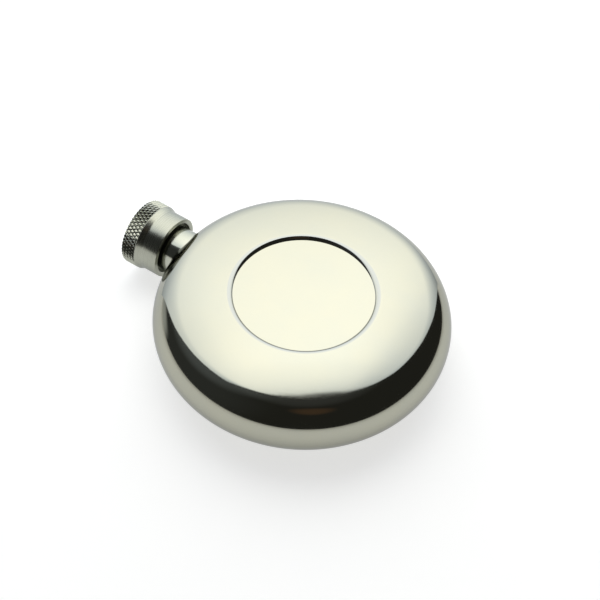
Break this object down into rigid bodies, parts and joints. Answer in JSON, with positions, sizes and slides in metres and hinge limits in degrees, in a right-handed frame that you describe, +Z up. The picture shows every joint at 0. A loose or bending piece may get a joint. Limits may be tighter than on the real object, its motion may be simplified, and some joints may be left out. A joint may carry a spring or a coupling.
{
  "type": "pocket flask",
  "caption": "Round lens-shaped pocket flask in polished titanium, with a round recess stamped into its face and a knurled screw cap on a short neck in its rim; it carries a drink.",
  "frame": {"origin": "centre of the flat base, on the surface that the flask lies on", "axes": "+Z up, square to the base, through the middle of the round body; +X along the neck, towards the cap"},
  "size_m": [0.0997, 0.085, 0.0239],
  "materials": {
    "polished_titanium": "mirror-polished titanium sheet with a faint straw tint",
    "turned_titanium": "finely turned titanium",
    "silicone": "milky silicone rubber"
  },
  "bodies": {
    "flask": {"front_shell": "polished_titanium", "back_shell": "polished_titanium", "neck": "turned_titanium"},
    "seal": {"cap_seal": "silicone"},
    "screw_cap": {"cap": "turned_titanium"}
  },
  "joints": [
    {"name": "cap_lift", "type": "slide", "parent": "flask", "child": "seal", "axis": [1, 0, 0], "range_m": [0, 0.0105]},
    {"name": "cap_turn", "type": "hinge", "parent": "seal", "child": "screw_cap", "pos_m": [0.05, 0, 0.01202], "axis": [1, 0, 0], "range_deg": [0, 2520]}
  ],
  "couplings": [
    {"joint": "cap_lift", "follows": "cap_turn", "m_per_rad": 0.00023873}
  ]
}
